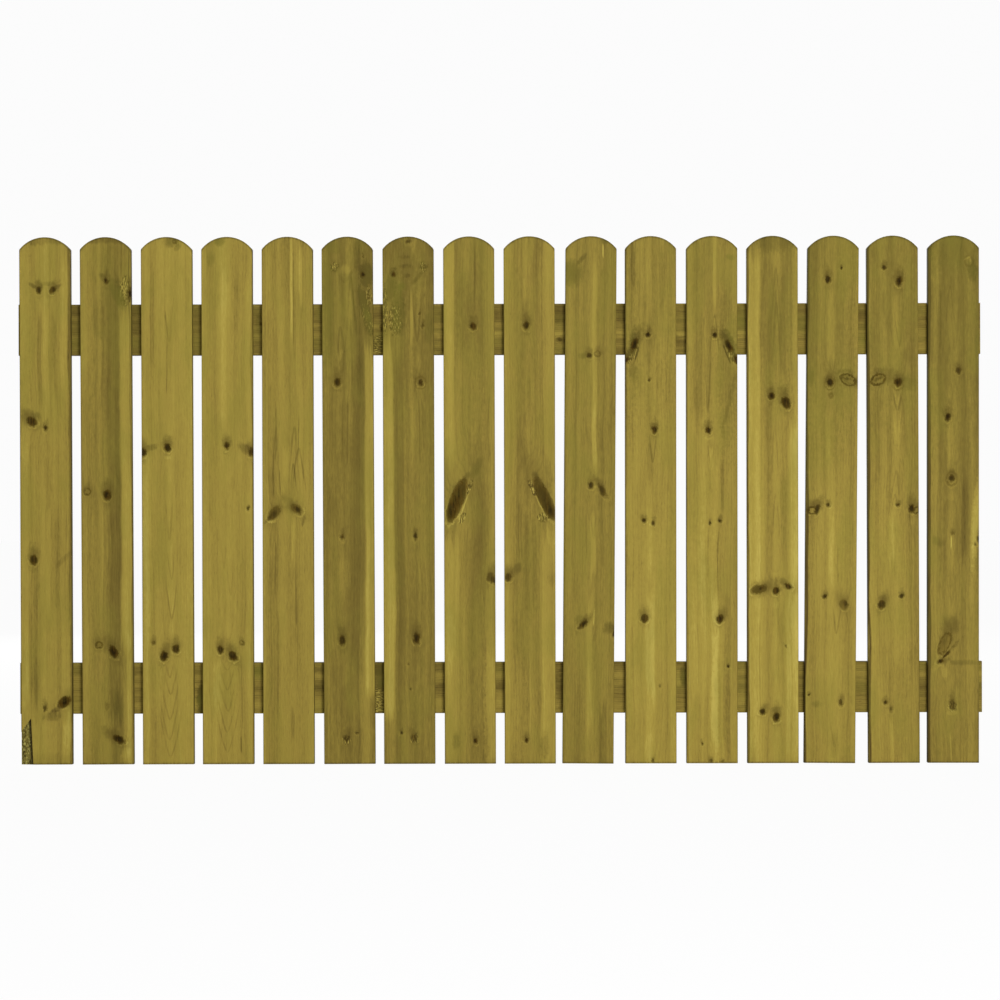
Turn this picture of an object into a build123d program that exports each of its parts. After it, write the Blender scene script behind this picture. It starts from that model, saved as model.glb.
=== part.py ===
from build123d import *
import os
from math import atan2, degrees, sqrt

# Round-top picket fence panel: upright pales fixed across the front of two flat rails.
# X runs along the panel, the pales face -Y, and Z is up. The origin is the middle of the
# top rail's back face, where the panel is fastened to its posts.

# Driving dimensions, in millimetres
PANEL_LENGTH = 1830.0  # both rails, end to end
PALE_HEIGHT = 1000.0  # foot to the tip of the crown
PALE_WIDTH = 97.0
PALE_THICKNESS = 20.0
PALE_GAP = 17.6  # least gap between two pales that stand true
PALE_ARRIS = 2.5  # rounding of the long edges
CROWN_RADIUS = 61.0
SHOULDER_RADIUS = 5.0  # rounding where the crown meets the sides
RAIL_WIDTH = 97.0
RAIL_THICKNESS = 20.0
RAIL_ARRIS = 2.0
RAIL_OVERHANG = 7.0  # rail past the outer pale at each end
TOP_RAIL_DROP = 175.0  # tip of the crown down to the top rail's centre line
RAIL_SPACING = 682.0  # between the centre lines of the rails
BOTTOM_RAIL_SHIFT = 2.0  # bottom rail set a little to the right of the top rail

# Each pale was set by eye. First its sideways shift at mid-height, then its lean:
# how far the foot stands to the right of the crown.
PALE_SETTINGS = (
    (-1.5, 2.5),
    (-0.5, 4.0),
    (0.0, 2.5),
    (-0.5, 1.5),
    (-0.5, 1.5),
    (-0.5, 3.5),
    (-0.5, 1.5),
    (0.0, 1.5),
    (-0.5, 0.5),
    (-1.5, -8.0),
    (0.0, -1.0),
    (1.5, -1.0),
    (2.0, 0.0),
    (-1.0, -9.0),
    (1.5, 2.0),
    (1.0, -2.0),
)

# Wane on the first pale: wood missing at the lower left corner, where the log's bark began
WANED_PALE = 0
WANE_WIDTH = 23.0  # across the foot
WANE_HEIGHT = 88.0  # foot to the point
WANE_POINT_INSET = 19.0  # left side of the pale to the point
WANE_SIDE_HEIGHT = 62.0  # where it runs out on the left side
WANE_STEP = 2.0  # depth along its inner side
WANE_DEPTH = 6.0  # depth at the left side of the pale

# Values worked out from the dimensions above
pale_foot = TOP_RAIL_DROP - PALE_HEIGHT
pale_run = PANEL_LENGTH - 2 * RAIL_OVERHANG
pale_count = int((pale_run + PALE_GAP) / (PALE_WIDTH + PALE_GAP) + 1e-6)
pale_pitch = (pale_run - PALE_WIDTH) / (pale_count - 1)
first_pale_centre = (PALE_WIDTH - pale_run) / 2
pale_front = -(RAIL_THICKNESS + PALE_THICKNESS)


def rail(centre_x, centre_z):
    """A flat rail with its back on Y = 0 and its four long edges eased."""
    board = Box(PANEL_LENGTH, RAIL_THICKNESS, RAIL_WIDTH)
    board = fillet(board.edges().filter_by(Axis.X), RAIL_ARRIS)
    return Pos(centre_x, -RAIL_THICKNESS / 2, centre_z) * board


def pale():
    """A pale standing on Z = 0, centred on X = 0, with its back against the rails.

    The board is planed to one section along its length, and the crown is then sawn across it.
    """
    section = RectangleRounded(PALE_WIDTH, PALE_THICKNESS, PALE_ARRIS)
    board = extrude(Pos(0, pale_front + PALE_THICKNESS / 2) * section, PALE_HEIGHT)

    half_width = PALE_WIDTH / 2
    crown_rise = CROWN_RADIUS - sqrt(CROWN_RADIUS**2 - half_width**2)
    shoulder = PALE_HEIGHT - crown_rise
    sides = Polyline((-half_width, shoulder), (-half_width, 0), (half_width, 0), (half_width, shoulder))
    crown = ThreePointArc((half_width, shoulder), (0, PALE_HEIGHT), (-half_width, shoulder))
    elevation = make_face(sides + crown)
    elevation = fillet(elevation.vertices().group_by(Axis.Y)[-1], SHOULDER_RADIUS)
    return board & extrude(Plane.XZ * elevation, -pale_front)


def wane():
    """The wood missing from the waned pale: a tapering pocket that deepens towards the left side."""
    left = -PALE_WIDTH / 2
    beyond = WANE_DEPTH  # the tool runs this far out of the pale
    elevation = Polyline(
        (left - beyond, -beyond),
        (left + WANE_WIDTH, -beyond),
        (left + WANE_WIDTH, 0),
        (left + WANE_POINT_INSET, WANE_HEIGHT),
        (left, WANE_SIDE_HEIGHT),
        (left - beyond, WANE_SIDE_HEIGHT),
        close=True,
    )
    section = Polyline(
        (left - beyond, pale_front - beyond),
        (left + WANE_WIDTH, pale_front - beyond),
        (left + WANE_WIDTH, pale_front + WANE_STEP),
        (left, pale_front + WANE_DEPTH),
        (left - beyond, pale_front + WANE_DEPTH),
        close=True,
    )
    upright = extrude(Plane.XZ * make_face(elevation), -2 * pale_front)
    level = extrude(Plane.XY * make_face(section), PALE_HEIGHT, both=True)
    return upright & level


def placed(board, index):
    """A pale moved to its place on the rails, turned by its own lean about mid-height."""
    shift, lean = PALE_SETTINGS[index % len(PALE_SETTINGS)]
    centre_x = first_pale_centre + index * pale_pitch + shift
    turn = -degrees(atan2(lean, PALE_HEIGHT))
    middle = Pos(centre_x, 0, pale_foot + PALE_HEIGHT / 2)
    return middle * Rot(0, turn, 0) * Pos(0, 0, -PALE_HEIGHT / 2) * board


os.makedirs("parts", exist_ok=True)

export_step(rail(0, 0), "parts/top_rail.step")
export_step(rail(BOTTOM_RAIL_SHIFT, -RAIL_SPACING), "parts/bottom_rail.step")

plain_pale = pale()
waned_pale = plain_pale - wane()
for index in range(pale_count):
    board = waned_pale if index == WANED_PALE else plain_pale
    export_step(placed(board, index), f"parts/pale_{index + 1:02d}.step")
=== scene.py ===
import math

import bmesh
import bpy
from mathutils import Matrix, Vector, noise


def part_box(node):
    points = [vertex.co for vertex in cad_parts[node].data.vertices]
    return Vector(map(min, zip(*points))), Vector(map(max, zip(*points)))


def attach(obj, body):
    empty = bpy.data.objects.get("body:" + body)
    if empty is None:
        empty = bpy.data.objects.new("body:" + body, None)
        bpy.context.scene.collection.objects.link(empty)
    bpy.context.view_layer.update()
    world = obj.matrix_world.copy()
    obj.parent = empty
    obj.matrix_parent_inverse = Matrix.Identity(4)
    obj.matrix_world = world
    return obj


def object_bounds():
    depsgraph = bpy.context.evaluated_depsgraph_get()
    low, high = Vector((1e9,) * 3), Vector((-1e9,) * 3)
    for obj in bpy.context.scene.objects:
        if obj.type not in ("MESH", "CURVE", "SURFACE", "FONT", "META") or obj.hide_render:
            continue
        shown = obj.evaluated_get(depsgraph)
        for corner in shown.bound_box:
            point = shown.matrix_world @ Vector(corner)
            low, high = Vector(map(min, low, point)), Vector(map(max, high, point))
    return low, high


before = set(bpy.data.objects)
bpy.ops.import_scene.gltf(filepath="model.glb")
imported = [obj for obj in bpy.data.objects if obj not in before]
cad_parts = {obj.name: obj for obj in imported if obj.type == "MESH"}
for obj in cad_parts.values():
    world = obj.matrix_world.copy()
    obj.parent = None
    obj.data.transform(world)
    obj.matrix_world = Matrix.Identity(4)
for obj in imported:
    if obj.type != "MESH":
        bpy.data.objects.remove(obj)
cad_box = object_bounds()


# Rails: two flat softwood boards, planed on all sides and pressure treated to an olive brown.
# They lie on edge behind the pales, with the grain running along the panel.

MM = 0.001


def finish_colour(red, green, blue):
    """A colour in 0 to 255 values, turned into the linear values that nodes take."""
    levels = [level / 255 for level in (red, green, blue)]
    return [(c / 12.92 if c <= 0.04045 else ((c + 0.055) / 1.055) ** 2.4) for c in levels] + [1.0]


def put(tree, kind, inputs=None, **settings):
    """Adds a shader node. Each input, by name or number, takes a value or another node's output."""
    node = tree.nodes.new("ShaderNode" + kind)
    for name, value in settings.items():
        setattr(node, name, value)
    for key, value in (inputs or {}).items():
        if isinstance(value, bpy.types.NodeSocket):
            tree.links.new(value, node.inputs[key])
        else:
            node.inputs[key].default_value = value
    return node


def calc(operation, *values):
    """The result of a Math node, in the tree that its values come from."""
    tree = next(value.id_data for value in values if isinstance(value, bpy.types.NodeSocket))
    return put(tree, "Math", dict(enumerate(values)), operation=operation).outputs[0]


def ramp(value, start, end, low=0.0, high=1.0):
    """Goes smoothly from low to high as the value goes from start to end."""
    inputs = {"Value": value, "From Min": start, "From Max": end, "To Min": low, "To Max": high}
    return put(value.id_data, "MapRange", inputs, interpolation_type="SMOOTHSTEP").outputs["Result"]


def grain_noise(point, stretch, seed, detail=2.0, rough=0.5):
    """Noise on a point in millimetres, with stretch features to the millimetre along each axis."""
    tree = point.id_data
    scaled = put(tree, "VectorMath", {0: point, 1: stretch, 2: seed}, operation="MULTIPLY_ADD")
    inputs = {"Vector": scaled.outputs[0], "Scale": 1.0, "Detail": detail, "Roughness": rough}
    return put(tree, "TexNoise", inputs)


def new_group(name, inputs, outputs):
    """A shader node group with those sockets. Returns its tree, its inputs by name and its output node."""
    tree = bpy.data.node_groups.new(name, "ShaderNodeTree")
    kinds = {"V": "NodeSocketVector", "F": "NodeSocketFloat", "C": "NodeSocketColor"}
    for direction, sockets in (("INPUT", inputs), ("OUTPUT", outputs)):
        for label, kind in sockets.items():
            tree.interface.new_socket(label, in_out=direction, socket_type=kinds[kind])
    entry = tree.nodes.new("NodeGroupInput")
    return tree, {socket.name: socket for socket in entry.outputs}, tree.nodes.new("NodeGroupOutput")


def oval(given):
    """How far a point is across and along a leaning oval, in half widths and half lengths."""
    tree = given["Point"].id_data
    offset = put(tree, "VectorMath", {0: given["Point"], 1: given["Place"]}, operation="SUBTRACT")
    return [put(tree, "VectorMath", {0: offset.outputs[0], 1: given[axis]},
                operation="DOT_PRODUCT").outputs["Value"] for axis in ("Across", "Along")]


# A knot is a branch cut across, blackest in its middle. The fibres bend round below it as a pale ring,
# the wood above is stained, and the growth rings swell out round it. A hollow one shows mostly its rim.
oval_inputs = {"Point": "V", "Ragged": "F", "Place": "V", "Across": "V", "Along": "V"}
knot_outputs = {"Knot": "F", "Heart": "F", "Stain": "F", "Swell": "F", "Tone": "F"}
knot_parts = ("Fine", "Core", "Black", "Collar", "Smear", "Bulge", "Rim", "Hollow")
knot_inputs = oval_inputs | dict.fromkeys(knot_parts, "F")


def knot(name, hollow):
    """The group for one kind of knot. Core, Black, Collar, Smear, Rim and Hollow are its parts' strengths."""
    tree, given, result = new_group(name, knot_inputs | knot_outputs, knot_outputs)
    across, along = oval(given)
    square = calc("MULTIPLY", across, across)
    reach_square = calc("MULTIPLY_ADD", along, along, square)
    reach = calc("MULTIPLY_ADD", given["Ragged"], given["Fine"], calc("SQRT", reach_square))

    def outside(millimetres):
        """The reach of a point that far outside the knot's outline."""
        return calc("MULTIPLY_ADD", given["Fine"], millimetres, 1.0)

    dark = ramp(reach, outside(1.5), calc("MAXIMUM", outside(-1.9), 0.4), 0.0, given["Core"])
    collar = ramp(reach, outside(0.8), outside(2.6), 0.0, given["Collar"])
    collar = calc("MULTIPLY", collar, ramp(reach, outside(5.5), outside(2.8)))
    collar = calc("MULTIPLY", collar, ramp(along, 0.3, -0.7))
    collar = calc("MULTIPLY", collar, ramp(given["Ragged"], 1.5, -1.0, 0.2, 1.0))
    tone = calc("MULTIPLY_ADD", collar, 0.18, given["Tone"])
    unstained = collar
    if hollow:
        off_rim = calc("ABSOLUTE", calc("SUBTRACT", reach, 1.0))
        line = [calc("MULTIPLY", given["Fine"], millimetres) for millimetres in (3.2, 0.4)]
        rim = ramp(off_rim, *line, 0.0, given["Rim"])
        rim = calc("MULTIPLY", rim, ramp(given["Ragged"], -2.0, 1.5, 0.5, 1.0))
        dark = calc("MAXIMUM", dark, rim)
        middle = ramp(reach, 1.0, outside(-3.0), 0.0, given["Hollow"])
        tone = calc("MULTIPLY_ADD", middle, 0.03, tone)
        unstained = calc("MAXIMUM", collar, middle)
    dark = calc("MULTIPLY", dark, calc("MULTIPLY_ADD", given["Ragged"], 0.07, 0.93))
    heart = ramp(reach, 1.0, 0.25, 0.0, given["Black"])
    above = calc("SUBTRACT", along, 0.45)
    near = calc("MULTIPLY_ADD", calc("MULTIPLY", above, above), 0.4, square)
    smear = calc("MULTIPLY", given["Fine"], 1.5)
    near = calc("MULTIPLY_ADD", given["Ragged"], smear, calc("SQRT", near))
    halo = ramp(near, 2.3, 0.5, 0.0, given["Smear"])
    halo = calc("MULTIPLY", halo, calc("SUBTRACT", 1.0, unstained))
    spread = calc("MULTIPLY_ADD", reach_square, -0.06, calc("MULTIPLY", square, -0.24))
    swell = calc("MULTIPLY_ADD", calc("EXPONENT", spread), given["Bulge"], given["Swell"])
    for label, value in (("Knot", dark), ("Heart", heart), ("Stain", halo)):
        tree.links.new(calc("MAXIMUM", value, given[label]), result.inputs[label])
    tree.links.new(tone, result.inputs["Tone"])
    tree.links.new(swell, result.inputs["Swell"])
    return tree


sound_knot = knot("sound knot", False)
hollow_knot = knot("hollow knot", True)

# A cloud is a soft-edged patch where the wood is lighter, darker or more deeply stained green. On the
# eleventh to sixteenth pales, broad clouds also paint light and shade: darker high up, lighter low down.
cloud_inputs = oval_inputs | {"Lightness": "F", "Greenness": "F", "Tone": "F", "Green": "F"}
cloud_group, given, result = new_group("cloud", cloud_inputs, {"Tone": "F", "Green": "F"})
across, along = oval(given)
reach = calc("MULTIPLY_ADD", across, across, calc("MULTIPLY", along, along))
patch = ramp(calc("MULTIPLY_ADD", given["Ragged"], 0.25, reach), 1.7, 0.0)
for strength, mark in (("Lightness", "Tone"), ("Greenness", "Green")):
    cloud_group.links.new(calc("MULTIPLY_ADD", patch, given[strength], given[mark]), result.inputs[mark])

# A streak is a strip of lighter sapwood or darker heartwood along the grain. The dark strips down some
# pales' edges are painted shade for their shaded side faces.
streak_inputs = ("Across", "Half Width", "Low", "High", "Lightness", "Fray", "Tone")
streak_inputs = {"Point": "V"} | dict.fromkeys(streak_inputs, "F")
streak_group, given, result = new_group("streak", streak_inputs, {"Tone": "F"})
parts = put(streak_group, "SeparateXYZ", {0: given["Point"]}).outputs
aside = calc("ABSOLUTE", calc("SUBTRACT", parts["X"], given["Across"]))
soft = calc("MULTIPLY_ADD", given["Half Width"], 0.25, 0.7)
inner = calc("SUBTRACT", given["Half Width"], soft)
outer = calc("ADD", given["Half Width"], soft)
strip = ramp(aside, outer, inner)
length = calc("SUBTRACT", given["High"], given["Low"])
run = calc("MINIMUM", calc("MULTIPLY_ADD", length, 0.2, 1.0), 45.0)
up = calc("MULTIPLY_ADD", given["Fray"], calc("MINIMUM", length, 150.0), parts["Z"])
bottom = ramp(up, given["Low"], calc("ADD", given["Low"], run))
top = ramp(up, given["High"], calc("SUBTRACT", given["High"], run))
patch = calc("MULTIPLY", strip, calc("MULTIPLY", bottom, top))
tone = calc("MULTIPLY_ADD", patch, given["Lightness"], given["Tone"])
streak_group.links.new(tone, result.inputs["Tone"])

# A flame is one growth ring that the saw cut through at a slant, which shows as a narrow V.
flame_inputs = ("Across", "Tip", "Rise", "Spread", "Half Width", "Lightness", "Fray", "Tone")
flame_inputs = {"Point": "V"} | dict.fromkeys(flame_inputs, "F")
flame_group, given, result = new_group("flame", flame_inputs, {"Tone": "F"})
parts = put(flame_group, "SeparateXYZ", {0: given["Point"]}).outputs
aside = calc("ABSOLUTE", calc("SUBTRACT", parts["X"], given["Across"]))
climb = calc("DIVIDE", calc("SUBTRACT", parts["Z"], given["Tip"]), given["Rise"])
limb = calc("POWER", calc("MAXIMUM", climb, 0.0), 0.7)
off = calc("MULTIPLY_ADD", limb, calc("MULTIPLY", given["Spread"], -1.0), aside)
line = ramp(calc("ABSOLUTE", off), calc("MULTIPLY", given["Half Width"], 2.3), 0.0)
shown = calc("MULTIPLY", ramp(climb, -0.03, 0.03), ramp(climb, 1.0, 0.5))
line = calc("MULTIPLY", calc("MULTIPLY", line, shown), ramp(given["Fray"], -0.15, 0.1, 0.35, 0.95))
tone = calc("MULTIPLY_ADD", line, given["Lightness"], given["Tone"])
flame_group.links.new(tone, result.inputs["Tone"])

# Torn grain is where the planer lifted the fibres beside a knot: pale slivers and dark hollows.
torn_outputs = {"Tone": "F", "Torn": "F"}
torn_group, given, result = new_group("torn grain", oval_inputs | torn_outputs, torn_outputs)
across, along = oval(given)
reach = calc("MULTIPLY_ADD", across, across, calc("MULTIPLY", along, along))
inside = ramp(calc("MULTIPLY_ADD", given["Ragged"], 0.2, reach), 1.4, 0.4)
slivers = grain_noise(given["Point"], (0.5, 0.4, 0.13), (3.0, 8.0, 5.0), 2.0, 0.65).outputs["Fac"]
swing = calc("MULTIPLY", calc("SUBTRACT", slivers, 0.53), 7.5)
shift = calc("MULTIPLY", swing, inside)
for mark in ("Tone", "Torn"):
    torn_group.links.new(calc("ADD", given[mark], shift), result.inputs[mark])

# Treated timber: growth rings round a pith line that runs past the board at a slight angle, paler early
# wood and darker late wood, long fibres, the preservative's uneven olive stain, and painted shade on the
# sides.
timber_inputs = dict.fromkeys(("Point", "Seed", "Pith"), "V")
timber_inputs |= dict.fromkeys(("Taper", "Ring Width", "Figure", "Tone", "Green", "Torn"), "F")
timber_inputs |= dict.fromkeys(("Knot", "Heart", "Stain", "Swell", "Soak"), "F")
timber_outputs = {"Colour": "C", "Roughness": "F", "Height": "F"}
timber_group, given, result = new_group("treated timber", timber_inputs, timber_outputs)
from_pith = put(timber_group, "VectorMath", {0: given["Point"], 1: given["Pith"]}, operation="SUBTRACT")
parts = put(timber_group, "SeparateXYZ", {0: from_pith.outputs[0]}).outputs
deep = calc("MULTIPLY_ADD", parts["Z"], given["Taper"], parts["Y"])
square = calc("MULTIPLY_ADD", deep, deep, calc("MULTIPLY", parts["X"], parts["X"]))
radius = calc("ADD", calc("SQRT", square), given["Swell"])
bands = grain_noise(given["Point"], (0.055, 0.05, 0.0011), given["Seed"], 1.0, 0.45).outputs["Fac"]
lines = grain_noise(given["Point"], (0.2, 0.2, 0.004), given["Seed"], 1.0, 0.5).outputs["Fac"]
radius = calc("MULTIPLY_ADD", lines, 2.0, radius)
ring = calc("DIVIDE", radius, given["Ring Width"])
season = calc("FRACT", ring)
late = calc("MULTIPLY", ramp(season, 0.45, 0.92), ramp(season, 1.0, 0.94))
belts = put(timber_group, "TexNoise", {"W": calc("MULTIPLY", ring, 0.45), "Scale": 1.0, "Detail": 1.0},
            noise_dimensions="1D").outputs["Fac"]
late = calc("MULTIPLY", late, ramp(belts, 0.65, 0.35, 0.1, 1.0))
fibre = grain_noise(given["Point"], (0.5, 0.5, 0.06), given["Seed"], 2.0, 0.65).outputs["Fac"]
pores = grain_noise(given["Point"], (1.3, 1.3, 0.11), given["Seed"], 0.0).outputs["Fac"]
pores = ramp(pores, 0.62, 0.8)
mottle = grain_noise(given["Point"], (0.022, 0.022, 0.008), given["Seed"], 2.0, 0.55).outputs["Fac"]
tone = given["Tone"]
for source, middle, amount in (
    (belts, 0.5, 0.15), (bands, 0.5, 0.55), (lines, 0.5, 0.17), (fibre, 0.5, 0.38), (mottle, 0.5, 0.3),
    (late, 0.2, given["Figure"]), (pores, 0.1, -0.1),
):
    tone = calc("MULTIPLY_ADD", calc("SUBTRACT", source, middle), amount, tone)
shades = put(timber_group, "ValToRGB", {"Fac": tone})
wood_colours = ((0.0, (86, 71, 32)), (0.3, (122, 105, 47)), (0.5, (146, 127, 57)), (0.75, (164, 145, 65)))
for stop, colour in wood_colours:
    mark = shades.color_ramp.elements[0] if stop == 0.0 else shades.color_ramp.elements.new(stop)
    mark.color = finish_colour(*colour)
shades.color_ramp.elements[-1].color = finish_colour(186, 168, 82)


def laid_over(amount, under, over):
    """One colour laid over another."""
    return put(amount.id_data, "Mix", {"Factor": amount, 6: under, 7: over}, data_type="RGBA").outputs[2]


green = calc("ADD", ramp(mottle, 0.42, 0.7, 0.0, 0.3), given["Green"])
colour = laid_over(green, shades.outputs["Color"], finish_colour(114, 109, 41))
stain = calc("MULTIPLY", given["Stain"], 0.6)
colour = laid_over(stain, colour, finish_colour(82, 68, 28))
soak = calc("MULTIPLY", given["Soak"], ramp(fibre, 0.3, 0.65, 0.8, 0.4))
colour = laid_over(soak, colour, finish_colour(70, 62, 26))
# Painted shade: where the normal turns away from front and back, on the side faces and eased edges, the
# colour is darkened halfway towards a dark olive brown.
sides = put(timber_group, "SeparateXYZ", {0: put(timber_group, "TexCoord").outputs["Normal"]}).outputs
painted_side_shade = ramp(calc("ABSOLUTE", sides["Y"]), 0.9, 0.3, 0.0, 0.5)
colour = laid_over(painted_side_shade, colour, finish_colour(50, 43, 17))
knot_wood = laid_over(given["Heart"], finish_colour(66, 51, 11), finish_colour(28, 18, 2))
rusty = ramp(calc("ADD", lines, fibre), 1.0, 1.2, 0.0, 0.4)
knot_wood = laid_over(rusty, knot_wood, finish_colour(98, 72, 20))
colour = laid_over(given["Knot"], colour, knot_wood)
timber_group.links.new(colour, result.inputs["Colour"])
shine = calc("MULTIPLY_ADD", fibre, 0.2, 0.6)
timber_group.links.new(shine, result.inputs["Roughness"])
height = calc("MULTIPLY_ADD", pores, -0.3, calc("MULTIPLY", fibre, 0.9))
height = calc("MULTIPLY_ADD", given["Torn"], 0.6, height)
timber_group.links.new(height, result.inputs["Height"])


def timber(name, place, turn, pith, taper, tone, green=0.0, ring_width=4.6, figure=-0.08, ends=None,
           knots=(), clouds=(), streaks=(), flames=(), torn=()):
    """The material of one board. Its marks are in millimetres across and up from the middle of its foot.

    Knots are (across, up, half width, half length, lean to the right in degrees, darkness, fill),
    clouds (across, up, half width, half length, lean, lightness, greenness), torn patches (across, up,
    half width, half length, lean), streaks (across, half width, low, high, lightness), and flames
    (across, tip, spread, rise, half width of the line, lightness).
    """
    material = bpy.data.materials.new(name)
    material.use_nodes = True
    tree = material.node_tree
    shader = tree.nodes["Principled BSDF"]
    on_board = {"Vector": put(tree, "TexCoord").outputs["Object"], "Location": place, "Rotation": turn,
                "Scale": (MM, MM, MM)}
    point = put(tree, "Mapping", on_board, vector_type="TEXTURE").outputs[0]
    seed = Vector((place[0] * 71 + 5, place[2] * 37 + 11, place[0] * 53 + 3))
    ragged = grain_noise(point, (0.2, 0.1, 0.16), seed, 2.0, 0.65).outputs["Fac"]
    ragged = calc("MULTIPLY_ADD", ragged, 8.0, -4.0)
    drift = grain_noise(point, (0.009, 0.009, 0.007), seed, 1.0).outputs["Color"]
    drift = put(tree, "VectorMath", {0: drift, 1: (0.5, 0.5, 0.5)}, operation="SUBTRACT").outputs[0]
    bend = {0: drift, 1: (9.0, 14.0, 0.0), 2: point}
    drift = put(tree, "VectorMath", bend, operation="MULTIPLY_ADD").outputs[0]
    fray = grain_noise(point, (0.16, 0.16, 0.004), seed, 1.0).outputs["Fac"]
    fray = calc("MULTIPLY_ADD", fray, 0.6, -0.3)
    marks = dict.fromkeys(("Knot", "Heart", "Stain", "Swell", "Torn"), 0.0) | {"Tone": tone, "Green": green}

    def add_mark(group, values):
        """Places a group that passes the marks on, with one more added."""
        values |= {label: value for label, value in marks.items() if label in group.interface.items_tree}
        node = put(tree, "Group", node_tree=group)
        for label, value in values.items():
            if isinstance(value, bpy.types.NodeSocket):
                tree.links.new(value, node.inputs[label])
            else:
                node.inputs[label].default_value = value
        marks.update({socket.name: socket for socket in node.outputs if socket.name in marks})
        return node

    def oval_at(across, up, half_width, half_length, lean):
        """What a mark with the shape of a leaning oval is given."""
        sine = math.sin(math.radians(lean))
        cosine = math.cos(math.radians(lean))
        return {"Point": point, "Ragged": ragged, "Place": (across, 0.0, up),
                "Across": (cosine / half_width, 0.0, -sine / half_width),
                "Along": (sine / half_length, 0.0, cosine / half_length)}

    def smooth(value, start, end):
        """Goes smoothly from 0 to 1 as the value goes from start to end."""
        share = min(max((value - start) / (end - start), 0.0), 1.0)
        return share * share * (3 - 2 * share)

    for *shape, darkness, fill in knots:
        narrow = min(shape[2:4])
        hollow = smooth(fill, 0.9, 0.5)
        strengths = {"Core": darkness * fill, "Black": smooth(fill, 0.75, 1.0), "Collar": darkness,
                     "Smear": darkness * smooth(1 / narrow, 0.07, 0.13), "Rim": darkness * hollow,
                     "Hollow": hollow}
        add_mark(hollow_knot if hollow else sound_knot,
                 oval_at(*shape) | strengths | {"Fine": 1 / narrow, "Bulge": narrow * 0.6})
    for *shape, lightness, greenness in clouds:
        add_mark(cloud_group, oval_at(*shape) | {"Lightness": lightness, "Greenness": greenness})
    for across, half_width, low, high, lightness in streaks:
        add_mark(streak_group, {"Point": drift, "Across": across, "Half Width": half_width, "Low": low,
                                "High": high, "Lightness": lightness, "Fray": fray})
    for across, tip, spread, rise, half_width, lightness in flames:
        add_mark(flame_group, {"Point": drift, "Across": across, "Tip": tip, "Rise": rise, "Spread": spread,
                               "Half Width": half_width, "Lightness": lightness, "Fray": fray})
    for shape in torn:
        add_mark(torn_group, oval_at(*shape))
    soak = put(tree, "Group", {"Point": point}, node_tree=ends).outputs[0] if ends else 0.0
    wood = add_mark(timber_group, {"Point": drift, "Seed": seed, "Pith": (*pith, 0.0), "Taper": taper,
                                   "Soak": soak, "Figure": figure, "Ring Width": ring_width})
    tree.links.new(wood.outputs["Colour"], shader.inputs["Base Color"])
    tree.links.new(wood.outputs["Roughness"], shader.inputs["Roughness"])
    bump = put(tree, "Bump", {"Height": wood.outputs["Height"], "Strength": 0.3, "Distance": 0.5 * MM})
    tree.links.new(bump.outputs[0], shader.inputs["Normal"])
    shader.inputs["Specular IOR Level"].default_value = 0.03
    return material


def give(node, material):
    """Puts the material on a CAD piece."""
    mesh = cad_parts[node].data
    mesh.materials.clear()
    mesh.materials.append(material)


along_panel = (0.0, math.pi / 2, 0.0)
for rail, tone, marks in (
    ("top_rail", 0.34, {
        "knots": ((4, 236, 4, 5, 0, 0.5, 1), (-12, 463, 3, 4, 0, 0.6, 1), (3, 466, 3, 4, 0, 0.6, 1),
                  (-3, 693, 6, 5, 0, 0.65, 1), (20, 1030, 4, 5, 0, 0.65, 1),
                  (20, 1240, 8, 11, 20, 0.9, 0.9), (-26, 1590, 7, 9, 0, 0.9, 1)),
        "clouds": ((0, 200, 60, 260, 0, -0.06, 0.1), (-20, 225, 30, 12, 0, -0.1, 0.0),
                   (-12, 460, 20, 9, 0, -0.16, 0.1), (25, 345, 20, 14, 0, 0.08, 0.2),
                   (-30, 580, 16, 16, 0, 0.0, 0.4), (20, 690, 30, 14, 0, -0.1, 0.2),
                   (-30, 1030, 18, 30, 0, -0.14, 0.0), (-30, 1150, 18, 14, 0, -0.16, 0.1),
                   (-20, 1375, 26, 16, 0, 0.0, 0.4), (-10, 1490, 20, 16, 0, 0.0, 0.4),
                   (10, 1610, 24, 14, 0, 0.0, 0.3)),
        "streaks": ((-30, 14, -60, 1900, -0.05), (8, 3.5, 880, 1480, 0.2), (17, 2.5, 1080, 1400, 0.16),
                    (-12, 8, 640, 1000, 0.08), (30, 8, 720, 1900, 0.06)),
        "torn": ((28, 684, 18, 12, 0),),
    }),
    ("bottom_rail", 0.41, {
        "knots": ((-20, 1010, 7, 9, 0, 0.9, 1), (15, 1410, 6, 9, -15, 0.9, 1)),
        "clouds": ((25, 347, 34, 11, 0, -0.6, 0.4), (-25, 686, 28, 14, 0, -0.4, 0.3),
                   (-5, 915, 10, 16, 0, -0.2, 0.0), (22, 915, 10, 12, 0, 0.12, 0.0),
                   (0, 1030, 40, 12, 0, -0.2, 0.0), (-22, 1263, 18, 8, 0, -0.45, 0.2),
                   (-10, 1252, 9, 6, 0, 0.2, 0.0), (22, 1370, 12, 14, 0, 0.18, 0.0),
                   (-30, 455, 14, 14, 0, 0.0, 0.4), (0, 570, 14, 16, 0, -0.14, 0.1),
                   (5, 800, 12, 14, 0, -0.14, 0.0)),
        "streaks": ((-38, 7, -60, 1900, -0.06), (28, 9, -60, 1900, 0.08), (-8, 5, 400, 900, -0.08)),
        "torn": ((25, 682, 24, 14, 0),),
    }),
):
    low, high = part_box(rail)
    start = (low.x, low.y, (low.z + high.z) / 2)
    give(rail, timber(rail + "_wood", start, along_panel, (95, 40), 0.01, tone,
                      ring_width=3.6, figure=-0.16, **marks))


# Pales: sixteen upright boards, each planed to a flat section with eased edges and sawn to a round
# crown, then nailed to the rails from behind. The wood is the rails', in paler boards.

PALE_HEIGHT = 1000.0
CROWN_RADIUS = 61.0

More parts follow.
